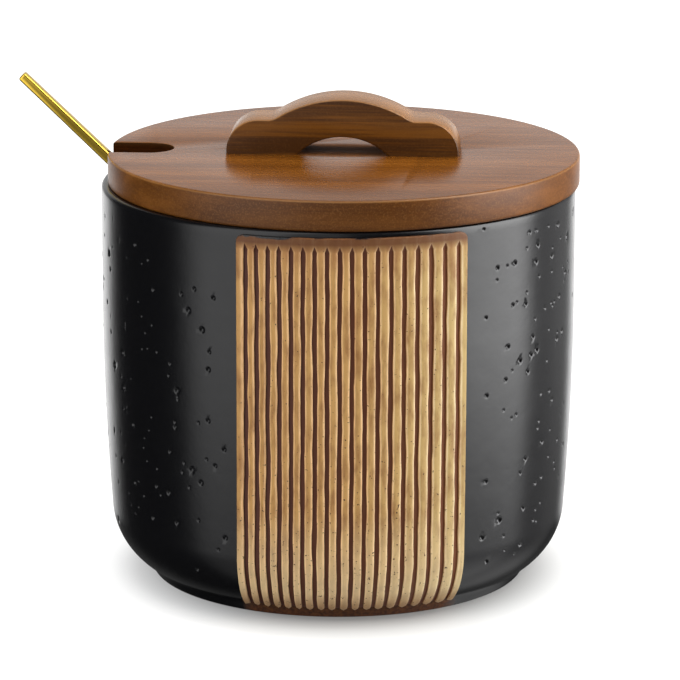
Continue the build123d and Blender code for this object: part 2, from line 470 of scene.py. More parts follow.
@dataclass(frozen=True)
class CombedClay:
    """Buff clay, combed and stained: dark grooves deepened by painted shade, tan ribs with pale edges from wear and a
    painted highlight, specks.
    """

    # Yellower and paler from left to right; the paleness is painted light from the right
    tones: Stops = ((0.0, "#ffd096"), (0.5, "#fcd49e"), (0.95, "#ffecc2"))  # from left to right
    # Across a rib: worn pale along both its edges and stained between; the right edge is palest, a painted highlight
    # added to the wear
    rub_and_highlight: Stops = ((0.0, "#c0a074"), (0.12, "#fffaf0"), (0.32, "#c6b690"), (0.66, "#cabb98"), (0.88, "#ffffff"))
    brown: str = "#a67044"
    # The grooves: a dark stain deepened with painted shade, and paler to the right as painted light
    groove: str = "#481c0c"
    groove_right_lit: str = "#7c4828"
    speck_colour: str = "#4a2c14"
    band_colour: str = "#5c3212"
    glaze: str = "#0d0d0f"
    width: Ramp = Ramp(-24.5, 24.5)  # mm, from left to right
    streaks: Marks = Marks(2.0, 5.0)  # of the brown stain
    streak_roughness: float = 0.6
    streaked: float = 0.3  # how much finer they are across the ribs than along them
    stain: Ramp = Ramp(0.42, 0.70, high=0.72)  # over the streaks
    # Over mm up: paler where the belly turns under, but browner at the very bottom and towards the top
    washes: tuple[tuple[str, Ramp], ...] = (
        ("#ffe8b8", Ramp(26.0, 8.0, high=0.5)),
        ("#a67044", Ramp(7.5, 4.0, high=0.55)),
        ("#a67044", Ramp(77.0, 84.0, high=0.4)),
    )
    grit: Marks = Marks(0.55, 3.0)
    speck: Ramp = Ramp(20.0, 45.0, 0.668, 0.70)  # over mm up, how coarse grit has to be to show as iron
    band: Ramp = Ramp(83.1, 84.9, high=0.92)  # over mm up, the brown band along the top
    # Darker deeper in the grooves: stain and painted shade
    oxide_and_shade: Ramp = Ramp(0.36, 0.76)  # over the comb's depth
    cloud: Marks = Marks(5.0, 4.0)
    lap: Ramp = Ramp(0.05, 0.45, 85.8 * MM, 86.5 * MM)  # from left to right, the height where glaze laps over
    lap_wander: float = 2.2  # mm
    lap_edge: Ramp = Ramp(0.9, 1.2)  # mm
    roughness: Ramp = Ramp(0.0, 1.0, 0.55, 0.22)  # from clay to glaze
    relief: Relief = Relief(0.4, 0.12)

    def make(self) -> bpy.types.Material:
        """Builds the material.

        Returns:
            The material.
        """
        material, tree, shader = blank_material("combed_buff_clay")
        place = add_node(tree, "TexCoord").outputs["Object"]
        x, _, z = add_node(tree, "SeparateXYZ", {0: place}).outputs
        names = ("comb", "across")
        comb, across = (add_node(tree, "Attribute", attribute_name=name).outputs["Fac"] for name in names)
        cloud, grit = (add_node(tree, "TexNoise", marks.of(place)) for marks in (self.cloud, self.grit))
        side = add_node(tree, "MapRange", self.width.of(x, MM))
        # Paler towards the right: partly the clay's own tone, partly painted light
        clay = add_node(tree, "ValToRGB", {0: side}, self.tones)
        # Stained in streaks that run down the ribs, some ribs more than others
        down = add_node(tree, "Mapping", {"Vector": place, "Scale": (1.0, 1.0, self.streaked)})
        streaks = add_node(tree, "TexNoise", self.streaks.of(down) | {"Roughness": self.streak_roughness})
        stain = add_node(tree, "MapRange", self.stain.of(streaks))
        clay = add_node(tree, "Mix", {0: stain, 6: clay, 7: linear(self.brown)}, data_type="RGBA")
        # Pale rib edges: wear, with a painted highlight on each right edge
        rib = add_node(tree, "ValToRGB", {0: across}, self.rub_and_highlight)
        clay = add_node(tree, "Mix", {0: 1.0, 6: clay, 7: rib}, data_type="RGBA", blend_type="MULTIPLY")
        layers = [(add_node(tree, "MapRange", ramp.of(z, MM)), linear(tint)) for tint, ramp in self.washes]
        rare = add_node(tree, "MapRange", self.speck.of(z, MM))
        speck = add_node(tree, "Math", {0: grit, 1: rare}, operation="GREATER_THAN")
        band = add_node(tree, "MapRange", self.band.of(z, MM))
        # Groove colour, paler towards the right as painted light
        ends = {6: linear(self.groove), 7: linear(self.groove_right_lit)}
        groove = add_node(tree, "Mix", {0: side} | ends, data_type="RGBA")
        oxide_and_shade = add_node(tree, "MapRange", self.oxide_and_shade.of(comb))
        # The black glaze laps over the top edge, lowest at the left
        lap = add_node(tree, "MapRange", self.lap.of(side))
        wander = add_node(tree, "Math", {0: cloud, 1: self.lap_wander * MM, 2: z}, operation="MULTIPLY_ADD")
        over = add_node(tree, "Math", {0: wander, 1: lap}, operation="SUBTRACT")
        dipped = add_node(tree, "MapRange", self.lap_edge.of(over, MM))
        layers += [(speck, linear(self.speck_colour)), (band, linear(self.band_colour))]
        layers += [(oxide_and_shade, groove), (dipped, linear(self.glaze))]
        for share, tint in layers:
            clay = add_node(tree, "Mix", {0: share, 6: clay, 7: tint}, data_type="RGBA")
        rough = add_node(tree, "MapRange", self.roughness.of(dipped))
        bump = add_node(tree, "Bump", self.relief.of(grit))
        plug(tree, shader, {"Base Color": clay, "Roughness": rough, "Normal": bump})
        return material


@dataclass(frozen=True)
class OiledWood:
    """Oiled acacia, its oil worked in, sawn along the grain: warm brown, finely streaked, with a satin sheen."""

    dark: str = "#5c330a"
    middle: str = "#6a3c0c"
    light: str = "#784714"
    pore_colour: str = "#48270a"
    front_shade_colour: str = "#3c2008"
    fleck_colour: str = "#9c6c3a"
    edge_highlight_colour: str = "#c08c54"
    top_light_colour: str = "#b07c48"
    turn: float = -7.0  # degrees, from the frame to the grain
    stretch: float = 16.7  # how much longer than wide a streak is
    squeeze: float = 0.45  # how much finer it is up and down than across
    sway: Marks = Marks(1000 / 60, 2.0)  # slow bends of the grain, in its own stretched length
    drift: float = 3.0  # mm, how far they go
    bands: Marks = Marks(7.0, 2.0)  # of growth
    streaks: Marks = Marks(0.9, 4.0)
    pores: Marks = Marks(0.3, 2.0)
    flecks: Marks = Marks(0.35, 3.0)
    streak_share: float = 0.8  # against a band
    tone: Ramp = Ramp(0.65, 1.15)  # over bands and streaks together
    tone_stops: Place = (0.1, 0.5, 0.9)  # where the wood is at its dark, its middle and its light
    front_shade: Ramp = Ramp(-32.0, -46.0, high=0.42)  # mm, where the board's front is darkened with painted shade
    pored: Ramp = Ramp(0.60, 0.70, high=0.45)  # over the pores
    fleck_range: Point = (0.50, 0.66)  # over the flecks
    flecked: float = 0.24  # how strongly they show on sawn sides
    # By how far a face is turned up: sawn, a painted highlight on the rounded top edge, and painted light on faces
    # turned up
    sawn: Ramp = Ramp(0.2, 0.7, 1.0, 0.0)
    edge_highlight: Stops = ((0.15, "#000000"), (0.5, "#9c9c9c"), (0.96, "#000000"))
    top_light_range: Point = (0.3, 0.8)
    top_light: float = 0.0  # how strongly faces turned up are paled with painted light
    roughness: float = 0.27
    oil_spread: float = 0.06  # how much the streaks change it
    sawn_duller: float = 0.12
    dried: float = 0.0  # how much duller the oil has dried under the handle's arch
    dry_patch: Point = (17.0, 7.0)  # mm, half the length and half the width of that patch
    dry_edge: Point = (0.75, 1.1)  # where it fades, as shares of those
    shine: float = 0.32  # how much the oil mirrors
    relief: Relief = Relief(0.2, 0.05)
    name: str = "oiled_acacia"

    def make(self) -> bpy.types.Material:
        """Builds the material.

        Returns:
            The material.
        """
        material, tree, shader = blank_material(self.name)
        place = add_node(tree, "TexCoord").outputs["Object"]
        grain = {"Rotation": (0.0, 0.0, radians(self.turn)), "Scale": (self.stretch, 1.0, self.squeeze)}
        along = add_node(tree, "Mapping", {"Vector": place} | grain, vector_type="TEXTURE")
        sway = add_node(tree, "TexNoise", self.sway.of(along))
        drift = {0: sway.outputs["Color"], 1: (self.drift * MM,) * 3, 2: along}
        bent = add_node(tree, "VectorMath", drift, operation="MULTIPLY_ADD")
        marks = ((self.bands, bent), (self.streaks, bent), (self.pores, along), (self.flecks, place))
        bands, streaks, pores, flecks = (add_node(tree, "TexNoise", mark.of(where)) for mark, where in marks)
        both = add_node(tree, "Math", {0: streaks, 1: self.streak_share, 2: bands}, operation="MULTIPLY_ADD")
        tone = add_node(tree, "MapRange", self.tone.of(both))
        tones = tuple(zip(self.tone_stops, (self.dark, self.middle, self.light)))
        wood = add_node(tree, "ValToRGB", {0: tone}, tones)
        across = add_node(tree, "SeparateXYZ", {0: bent}).outputs["Y"]
        # Sawn sides are flecked and duller than the planed top, the rounded top edge is paled as a painted highlight,
        # and faces turned up are paled as painted light from above
        facing = add_node(tree, "NewGeometry").outputs["Normal"]
        up = add_node(tree, "SeparateXYZ", {0: facing}).outputs["Z"]
        sawn = add_node(tree, "MapRange", self.sawn.of(up))
        flecks = add_node(tree, "MapRange", Ramp(*self.fleck_range, high=self.flecked).of(flecks))
        layers = (
            # The board's front, darkened with painted shade
            (add_node(tree, "MapRange", self.front_shade.of(across, MM)), self.front_shade_colour),
            (add_node(tree, "MapRange", self.pored.of(pores)), self.pore_colour),
            (add_node(tree, "Math", {0: flecks, 1: sawn}, operation="MULTIPLY"), self.fleck_colour),
            # Painted highlight on the rounded top edge, and painted light on faces turned up
            (add_node(tree, "ValToRGB", {0: up}, self.edge_highlight), self.edge_highlight_colour),
            (add_node(tree, "MapRange", Ramp(*self.top_light_range, high=self.top_light).of(up)), self.top_light_colour),
        )
        for share, tint in layers:
            wood = add_node(tree, "Mix", {0: share, 6: wood, 7: linear(tint)}, data_type="RGBA")
        oil = Ramp(0.0, 1.0, self.roughness + self.oil_spread, self.roughness - self.oil_spread)
        oil = add_node(tree, "MapRange", oil.of(streaks))
        rough = add_node(tree, "Math", {0: sawn, 1: self.sawn_duller, 2: oil}, operation="MULTIPLY_ADD")
        length, width = (half * MM for half in self.dry_patch)
        reach = (self.stretch / length, 1 / width, 0.0)
        off = add_node(tree, "VectorMath", {0: along, 1: reach}, operation="MULTIPLY")
        off = add_node(tree, "VectorMath", {0: off}, operation="LENGTH").outputs["Value"]
        dry = add_node(tree, "MapRange", Ramp(*self.dry_edge, self.dried, 0.0).of(off))
        rough = add_node(tree, "Math", {0: rough, 1: dry}, operation="ADD")
        bump = add_node(tree, "Bump", self.relief.of(pores))
        finish = {"Base Color": wood, "Roughness": rough, "Specular IOR Level": self.shine, "Normal": bump}
        plug(tree, shader, finish)
        return material


@dataclass(frozen=True)
class PlatedMetal:
    """A plated metal: clear or frosted reflections, with faint rubbing marks."""

    name: str
    colour: str
    roughness: float
    spread: float  # how much the roughness varies each way
    rubbing: Marks

    def make(self) -> bpy.types.Material:
        """Builds the material.

        Returns:
            The material.
        """
        material, tree, shader = blank_material(self.name)
        place = add_node(tree, "TexCoord").outputs["Object"]
        rubbing = add_node(tree, "TexNoise", self.rubbing.of(place))
        rough = Ramp(0.0, 1.0, self.roughness - self.spread, self.roughness + self.spread)
        rough = add_node(tree, "MapRange", rough.of(rubbing))
        plug(tree, shader, {"Base Color": linear(self.colour), "Metallic": 1.0, "Roughness": rough})
        return material


# The lid's board, with its oil dried dull under the handle
LID_WOOD = OiledWood(dried=0.55)
# The handle: the lid's wood made darker as painted shade, more boldly streaked, and paler on top as painted light
GRIP_WOOD = OiledWood("#40240a", "#5a350c", "#72450f", top_light=0.36, flecked=0.08, name="oiled_acacia_grip")
# The notch's sawn wall: darkened almost to black as painted shade in the narrow notch, and dull
SAWN_WOOD = OiledWood(
    "#241003", "#2e1505", "#3a1c08", "#1c0c03", roughness=0.9, shine=0.05, flecked=0.0, name="oiled_end_grain"
)
# Gold plate on a steel spoon, polished: clear yellow reflections
POLISHED_GOLD = PlatedMetal("polished_gold_plate", "#f0c94e", 0.17, 0.05, Marks(0.25, 3.0))
# Zinc plate on the two screws: dull grey with a fine frost
ZINC_STEEL = PlatedMetal("zinc_plated_steel", "#b9bcc0", 0.36, 0.10, Marks(0.2, 3.0))


# The jar


@dataclass(frozen=True)
class WallLine:
    """The jar's outer wall as one line, walked down from the rim: straight, drawn in to the hip, then turned under.

    Sizes are in millimetres, and a walk is the length along the line from the height of the rim.
    """

    radius: float = 52.0
    height: float = 87.4
    straight_from: float = 62.0
    hip_draw: float = 1.8
    hip_height: float = 14.5
    belly_draw: float = 8.5
    foot_height: float = 3.0

    @property
    def barrel(self) -> float:
        """Radius of the slow arc from the straight wall to the hip."""
        drop = self.straight_from - self.hip_height
        return (self.hip_draw**2 + drop**2) / (2 * self.hip_draw)

    @property
    def hip_angle(self) -> float:
        """How far the wall leans in at the hip, in radians."""
        return asin((self.straight_from - self.hip_height) / self.barrel)

    @property
    def hip_walk(self) -> float:
        """Walk to the hip."""
        return self.height - self.straight_from + self.barrel * self.hip_angle

    @property
    def belly(self) -> float:
        """Radius of the arc below the hip.

        Returns:
            The radius.
        """
        across = self.belly_draw - self.hip_draw
        down = self.hip_height - self.foot_height
        lean = across * cos(self.hip_angle) - down * sin(self.hip_angle)
        return (across**2 + down**2) / (2 * lean)

    @property
    def end_walk(self) -> float:
        """Walk to the belly's lower end.

        Returns:
            The walk.
        """
        across = self.radius - self.belly_draw - self.belly_centre[0]
        down = self.belly_centre[1] - self.foot_height
        return self.hip_walk + self.belly * (atan2(down, across) - self.hip_angle)

    @property
    def belly_centre(self) -> Point:
        """Centre of the belly's arc, as radius and height."""
        hip = self.radius - self.hip_draw
        return hip - self.belly * cos(self.hip_angle), self.hip_height + self.belly * sin(self.hip_angle)

    def at(self, walk: float, out: float = 0.0) -> Point:
        """A point on or off the wall.

        Args:
            walk: How far down the line.
            out: How far outside the wall, square to it.

        Returns:
            Radius and height.
        """
        straight = self.height - self.straight_from
        if walk <= straight:
            return self.radius + out, self.height - walk
        if walk <= self.hip_walk:
            angle = (walk - straight) / self.barrel
            centre = (self.radius - self.barrel, self.straight_from)
            arm = self.barrel + out
        else:
            angle = self.hip_angle + (walk - self.hip_walk) / self.belly
            centre = self.belly_centre
            arm = self.belly + out
        return centre[0] + arm * cos(angle), centre[1] - arm * sin(angle)


# The larger pits on the front: degrees round from the front, height and radius in millimetres
FRONT_PITS: tuple[tuple[float, float, float], ...] = (
    (51.6, 56.6, 0.68), (44.9, 55.4, 0.62), (49.2, 55.9, 0.55), (48, 52.4, 0.5), (49.9, 59.8, 0.5), (62, 56.9, 0.62),
    (65.4, 57.9, 0.6), (46.8, 67.6, 0.5), (42.1, 68.1, 0.4), (51.5, 79.7, 0.55), (50.8, 76.2, 0.6), (58.3, 76, 0.55),
    (61.8, 82.3, 0.6), (68.4, 78.4, 0.62), (67.3, 70.6, 0.5), (63.1, 66.2, 0.55), (36.9, 77, 0.42),
    (42.7, 77.2, 0.5), (40.6, 59.2, 0.5), (40, 52, 0.42), (34, 49.4, 0.4), (34.6, 30.2, 0.42), (55.6, 35.2, 0.55),
    (48.3, 32.8, 0.48), (46.5, 30, 0.38), (56.3, 27.1, 0.42), (53.4, 26.3, 0.42), (48.6, 21.6, 0.52),
    (39.7, 20.6, 0.66), (34.3, 17.5, 0.5), (60.1, 43.7, 0.42), (32.6, 86, 0.3), (48.1, 83.1, 0.35),
    (33.5, 66.6, 0.32), (58.3, 46.1, 0.4), (53.7, 17.8, 0.35), (48.4, 13.2, 0.38), (36.6, 11.6, 0.5),
    (65.1, 33.5, 0.38), (52.2, 72.8, 0.32), (-72.9, 50.1, 0.7), (-67.2, 54, 0.55), (-67.2, 46.2, 0.5),
    (-60.3, 79.3, 0.5), (-41.2, 68, 0.58), (-45, 49.8, 0.62), (-37.2, 64.3, 0.6), (-34, 71.6, 0.42),
    (-52.9, 70.7, 0.42), (-39.4, 72.9, 0.38), (-47.1, 55.4, 0.3), (-62.9, 38.8, 0.5), (-45.9, 41.6, 0.42),
    (-41, 32.8, 0.62), (-35.8, 44.5, 0.45), (-49, 26.2, 0.55), (-53.6, 26.8, 0.42), (-63.6, 25.5, 0.45),
    (-55.9, 19.1, 0.5), (-46.7, 19.8, 0.48), (-32, 18.7, 0.48), (-41.5, 9.9, 0.4), (-35.5, 55.8, 0.48),
    (-38.4, 30.3, 0.5), (-70.4, 29.2, 0.42), (-68.8, 78.8, 0.35), (-80.9, 81.8, 0.35), (-54.8, 76.9, 0.3),
    (-43.3, 71.3, 0.35), (-35.2, 59.7, 0.35), (-31.5, 38.6, 0.42), (-34.1, 34.7, 0.38), (-48, 35.7, 0.35),
    (-59.4, 23.4, 0.3),
)


@dataclass(frozen=True)
class Pit:
    """A burst bubble in the glaze."""

    azimuth: float  # degrees
    height: float  # mm
    size: float  # mm
    depth: float  # share of the deepest


@dataclass
class GlazedJar:
    """The pot: spun from its section, then pitted. Sizes are in millimetres, and angles in degrees."""

    line: WallLine = WallLine()
    wall: float = 4.6
    rim_outside: float = 1.1
    rim_inside: float = 2.4
    foot_step: float = 1.1
    foot_draft: float = 1.0
    foot_ring: float = 4.6
    foot_recess: float = 2.0
    foot_round: float = 0.6
    ring_round: float = 0.5  # on the ring's inner edge
    step_corner: Point = (0.15, 0.1)  # what is taken off the corners of the foot's step, across and up
    belly_corner: Point = (0.35, 0.1)
    floor: float = 7.6
    well_round: float = 6.5
    under_rings: tuple[float, ...] = (0.0, 12.0, 24.0)  # radii at which the underside is divided
    floor_rings: tuple[float, ...] = (30.0, 20.0, 10.0, 0.0)  # and the floor
    inside_heights: tuple[float, ...] = (79.0, 70.0, 62.0)  # heights at which the inside is divided
    inside_shares: tuple[float, ...] = (0.45, 0.6, 0.75, 0.9, 1.0)  # below them, by shares of the hip's walk
    ring_gap: float = 1.0
    segments: int = 360
    pit_count: int = 460
    pit_sizes: Point = (0.26, 0.7)
    pit_depth: float = 0.5
    front_depths: Point = (0.6, 0.6)  # shares of that depth: the least, and what a millimetre of size adds
    depths: Point = (0.5, 0.5)  # the least, and what the largest adds
    pit_heights: Point = (6.0, 83.0)
    cluster: int = 5  # most pits in one
    cluster_heights: Point = (8, 82)
    cluster_spread: Point = (6.0, 7.0)  # round the jar and up it
    small_bias: float = 1.5
    front_half: float = 75  # how far round from the front only small ones are added
    front_share: float = 0.15
    panel_half: float = 31  # how far round the panel reaches
    pit_edge: float = 0.35  # how far round a pit the wall is divided finely
    pit_cuts: int = 4
    pit_fall: float = 1.3  # how fast a pit runs out towards its size
    pitted_from: float = 39.7  # radius
    least_press: float = 0.01
    seed: int = 11

    def section(self) -> list[Point]:
        """The jar's section.

        Returns:
            Radii and heights, from the middle of its underside, round the outside, to the middle of its floor.
        """
        line = self.line
        end_radius = line.radius - line.belly_draw
        top = end_radius - self.foot_step
        low = top - self.foot_draft
        inner = low - self.foot_ring
        bend, ring = self.foot_round, self.ring_round
        points = [(r, self.foot_recess) for r in (*self.under_rings, inner - bend)]
        points += arc((inner - bend, self.foot_recess - bend), bend, 90, 0, 3)[1:]
        points += arc((inner + ring, ring), ring, 180, 270, 3)
        points += arc((low - bend, bend), bend, 270, 345, 4)
        points += [(low + self.foot_draft / 2, line.foot_height / 2), (top, line.foot_height - self.step_corner[1])]
        points += [(top + self.step_corner[0], line.foot_height), (end_radius - self.belly_corner[0], line.foot_height)]
        points += [(end_radius - self.belly_corner[1], line.foot_height + self.belly_corner[1])]
        walk = line.end_walk - self.belly_corner[0]
        stop = self.rim_outside
        count = round((walk - stop) / self.ring_gap)
        points += [line.at(walk - (walk - stop) * i / count) for i in range(count + 1)]
        centre = (line.radius - self.rim_outside, line.height - self.rim_outside)
        points += arc(centre, self.rim_outside, 0, 90, 7)[1:]
        inside = line.radius - self.wall
        centre = (inside + self.rim_inside, line.height - self.rim_inside)
        points += arc(centre, self.rim_inside, 90, 180, 7)
        points += [line.at(line.height - z, -self.wall) for z in self.inside_heights]
        points += [line.at(line.hip_walk * share, -self.wall) for share in self.inside_shares]
        centre = (points[-1][0] - self.well_round, self.floor + self.well_round)
        points += arc(centre, self.well_round, 0, -90, 9)
        return points + [(r, self.floor) for r in self.floor_rings]

    def pits(self) -> list[Pit]:
        """Those of the front, then loose clusters elsewhere, none behind the panel.

        Returns:
            The pits.
        """
        rng = Random(self.seed)
        small, large = self.pit_sizes
        lowest, highest = self.pit_heights
        least, more = self.front_depths
        places = [Pit(turn - 90, height, size, least + more * size) for turn, height, size in FRONT_PITS]
        least, more = self.depths
        while len(places) < self.pit_count:
            azimuth = rng.uniform(0, 360)
            middle = rng.uniform(*self.cluster_heights)
            for _ in range(rng.randint(1, self.cluster)):
                share = rng.random() ** self.small_bias
                turn = azimuth + rng.gauss(0, self.cluster_spread[0])
                height = min(highest, max(lowest, middle + rng.gauss(0, self.cluster_spread[1])))
                from_front = abs((turn + 270) % 360 - 180)
                if from_front < self.front_half:
                    share *= self.front_share
                if from_front > self.panel_half:
                    places.append(Pit(turn, height, between(small, large, share), least + more * share))
        return places

    def build(self) -> Piece:
        """Spins the section, works the pits into it and shades it.

        Returns:
            The jar.
        """
        jar = drawn_line("glazed_jar", [Vector((r * MM, 0.0, z * MM)) for r, z in self.section()])
        with editing(jar, Kind.VERT):
            pick_all()
            bpy.ops.mesh.spin(steps=self.segments, angle=tau, center=(0, 0, 0), axis=Z_AXIS)
            pick_all()
            bpy.ops.mesh.remove_doubles(threshold=TINY)
            face_outwards()
        self.press_pits(jar)
        smooth(jar, 50)
        return jar

    def press_pits(self, jar: Piece) -> None:
        """Divides the wall finely round each pit and presses the pit in.

        Args:
            jar: The spun jar.
        """
        pits = self.pits()
        tree = kdtree.KDTree(len(pits))
        for i, pit in enumerate(pits):
            radius = self.line.at(self.line.height - pit.height)[0] * MM
            turn = radians(pit.azimuth)
            tree.insert((radius * cos(turn), radius * sin(turn), pit.height * MM), i)
        tree.balance()
        reach = (self.pit_sizes[1] + self.pit_edge) * MM

        def near_pit(face: bmesh.types.BMFace) -> bool:
            """Whether a face of the outer wall lies by a pit."""
            middle, normal = face.calc_center_median(), face.normal
            return normal.x * middle.x + normal.y * middle.y > 0 and tree.find(middle)[2] < reach

        with editing(jar):
            pick(jar, Kind.FACE, near_pit)
            bpy.ops.mesh.subdivide(number_cuts=self.pit_cuts, smoothness=0.0)
        group = jar.vertex_groups.new(name="pits")
        for vert in jar.data.vertices:
            _, index, gap = tree.find(vert.co)
            if gap < reach and vert.co.xy.length > self.pitted_from * MM and vert.co.dot(vert.normal) > 0:
                share = gap / (pits[index].size * MM)
                press = pits[index].depth * exp(-(share**4) * self.pit_fall)
                if press > self.least_press:
                    group.add([vert.index], press, "REPLACE")
        depth = {"direction": "NORMAL", "mid_level": 0.0, "strength": -self.pit_depth * MM}
        applied(jar, "DISPLACE", vertex_group="pits", **depth)


# The combed panel


@dataclass(frozen=True)
class Waver:
    """An unevenness left by the hand."""

    size: float
    pace: float  # waves in a millimetre
    side_pace: float
    seed: float

    def at(self, along: float, aside: float) -> float:
        """Its value at that place."""
        return self.size * noise.noise(Vector((along * self.pace, aside * self.side_pace, self.seed)))


@dataclass
class CombedPanel:
    """The clay slab: combed flat on the bench, then laid round the jar's front. Sizes are in millimetres."""

    line: WallLine = WallLine()
    width: float = 48.9
    top: float = 86.2
    proud: float = 0.8
    sunk: float = 0.4  # how far its back lies inside the glazed wall
    corner: float = 1.5
    grooves: int = 18
    groove_width: float = 1.0
    groove_depth: float = 0.6
    edge_rib: float = 1.4
    drift: float = 0.145
    plain_band: float = 1.85
    point: float = 1.2
    point_width: float = 0.12  # of a groove's tip, as a share
    row: float = 0.9
    first_row: float = 3.0
    back_grid: tuple[int, int] = (14, 24)  # columns and rows of the back
    back_shift: Point = (0.13, 0.11)  # which keeps its cuts clear of the front's
    rounding: float = 0.28
    crown: float = 0.07
    flare: float = 1.6  # where the comb runs out at the bottom
    flare_width: float = 0.55
    flare_depth: float = 0.25
    hold: Point = (0.75, 1.25)  # from a groove's middle, where its sway fades on the ribs
    sways: tuple[Waver, Waver] = (Waver(0.16, 0.11, 3.7, 1.0), Waver(0.05, 0.45, 5.1, 9.0))
    narrowed: float = 0.94
    widths: Waver = Waver(0.22, 0.16, 9.3, 4.0)
    skin: Waver = Waver(0.05, 0.8, 0.3, 2.0)
    fan: float = 0.57  # round the belly: 0 keeps the slab's width, 1 its angle at the hip

    @property
    def length(self) -> float:
        """Length of the slab along the wall."""
        return self.line.end_walk - (self.line.height - self.top)

    def places(self) -> list[float]:
        """Where the grooves lie.

        Returns:
            Each groove's middle line, across the panel.
        """
        reach = self.width / 2 - self.edge_rib - self.groove_width / 2
        shares = [i / (self.grooves - 1) for i in range(self.grooves)]
        return [2 * reach * (s * (1 - self.drift) + self.drift * s * s) - reach for s in shares]

    def in_groove(self, face: bmesh.types.BMFace) -> bool:
        """Whether a face of the flat slab lies where a groove is combed."""
        middle = face.calc_center_median() / MM
        return -middle.z > self.plain_band and any(abs(middle.x - g) < self.groove_width / 2 for g in self.places())

    def build(self) -> Piece:
        """Combs the slab flat and lays it on the wall.

        Returns:
            The panel.
        """
        panel = self.flat_sheet()
        self.comb(panel)
        self.close_back(panel)
        self.round_ribs(panel)
        self.lay(panel)
        smooth(panel, 60)
        return panel

    def flat_sheet(self) -> Piece:
        """A flat upright sheet with rounded top corners, cut into columns and rows.

        Returns:
            The sheet, its top edge at height zero.
        """
        middle = (0.0, 0.0, -self.length / 2 * MM)
        scale = (self.width * MM, self.length * MM, 1.0)
        panel = added("combed_panel", "plane", scale, size=1.0, location=middle, rotation=(pi / 2, 0, 0))
        with editing(panel, Kind.VERT):
            pick(panel, Kind.VERT, lambda vert: vert.co.z > -MM)
            bpy.ops.mesh.bevel(offset=self.corner * MM, segments=5, affect="VERTICES")
        half = self.groove_width / 2
        places = self.places()
        columns = [g + side for g in places for side in (-half, half)]
        columns += [(a + b) / 2 for a, b in zip(places, places[1:])]
        rows = [self.plain_band, self.plain_band + self.point / 2]
        count = round((self.length - self.first_row) / self.row)
        rows += [self.first_row + (self.length - self.first_row) * i / count for i in range(count)]
        with editing(panel):
            score(columns, [-z for z in rows], pick_all)
        return panel

    def comb(self, panel: Piece) -> None:
        """Pushes the grooves in and opens their lower ends.

        Args:
            panel: The flat sheet, which faces -Y.
        """
        bottom = -self.length * MM

        def lower_end(face: bmesh.types.BMFace) -> bool:
            """Whether a face closes a groove at the bottom."""
            middle = face.calc_center_median()
            return middle.z < bottom + TINY and middle.y > TINY

        with editing(panel):
            pick(panel, Kind.FACE, self.in_groove)
            extrude((0.0, self.groove_depth * MM, 0.0))
            pick(panel, Kind.FACE, lower_end)
            bpy.ops.mesh.delete(type="FACE")

    def close_back(self, panel: Piece) -> None:
        """Gives the sheet its sides and its back.

        Args:
            panel: The combed sheet.
        """
        back = (self.proud + self.sunk) * MM
        with editing(panel, Kind.EDGE):
            bpy.ops.mesh.select_all(action="DESELECT")
            bpy.ops.mesh.select_non_manifold(extend=False)
            extrude((0.0, 2 * back, 0.0))
            bpy.ops.transform.resize(value=(1, 0, 1), center_override=(0, back, 0))
            bpy.ops.mesh.select_mode(type="VERT")
            bpy.ops.mesh.edge_face_add()
        across, up = self.back_grid
        columns = [(i / across - 0.5) * self.width + self.back_shift[0] for i in range(1, across)]
        rows = [-i / up * self.length + self.back_shift[1] for i in range(1, up)]

        def at_back(face: bmesh.types.BMFace) -> bool:
            """Whether a face is part of the back."""
            return face.calc_center_median().y > back - TINY

        with editing(panel):
            score(columns, rows, lambda: pick(panel, Kind.FACE, at_back))
            face_outwards()

    def round_ribs(self, panel: Piece) -> None:
        """Rounds the ribs' edges and the slab's own.

        Args:
            panel: The closed slab.
        """

        def sharp(edge: bmesh.types.BMEdge) -> bool:
            """Whether an edge of the front turns by more than 60 degrees.

            Args:
                edge: The edge.

            Returns:
                True where it does.
            """
            faces = edge.link_faces
            turned = len(faces) == 2 and faces[0].normal.dot(faces[1].normal) < 0.5
            return turned and all(vert.co.y < TINY for vert in edge.verts)

        with editing(panel, Kind.EDGE):
            pick(panel, Kind.EDGE, sharp)
            bpy.ops.mesh.bevel(offset=self.rounding * MM, segments=3, affect="EDGES", clamp_overlap=True)

    def lay(self, panel: Piece) -> None:
        """Makes the combing uneven by hand and lays the slab on the jar's wall.

        Args:
            panel: The flat slab.
        """
        grooves = self.places()
        half = self.groove_width / 2
        half_rib = (grooves[1] - grooves[0] - self.groove_width) / 2
        hip_out = self.line.at(self.line.hip_walk)[0] + self.proud
        start = self.line.height - self.top
        marks, shares = [], []
        for vert in panel.data.vertices:
            x, depth, down = vert.co.x / MM, vert.co.y / MM, -vert.co.z / MM
            front = depth < self.proud
            marks.append(clamped(depth / self.groove_depth) if front else 0.0)
            index = min(range(len(grooves)), key=lambda i: abs(grooves[i] - x))
            offset = x - grooves[index]
            aside = clamped((abs(offset) - half) / half_rib)
            shares.append(0.5 - 0.5 * (1 - aside) * (1 if offset > 0 else -1))
            if front:
                depth += self.crown * (1 - aside) ** 2 * (1 - marks[-1])
                hold = clamped((self.hold[1] - abs(offset)) / (self.hold[1] - self.hold[0]))
                inside = abs(offset) < half + self.rounding + TINY / MM
                tip = clamped((down - self.plain_band) / self.point)
                if inside and down < self.plain_band + self.point:
                    offset *= max(self.point_width, tip)
                    depth *= tip
                elif inside:
                    offset *= self.narrowed + self.widths.at(down, index)
                late = max(0.0, (down - self.length + self.flare) / self.flare)
                if inside and late > 0:
                    offset *= 1 + self.flare_width * late**2
                    depth += self.flare_depth * late**3 * (1 - depth / self.proud)
                x = grooves[index] + offset + sum(sway.at(down, index) for sway in self.sways) * hold
                depth += abs(self.skin.at(x, down))
            walk = start + down
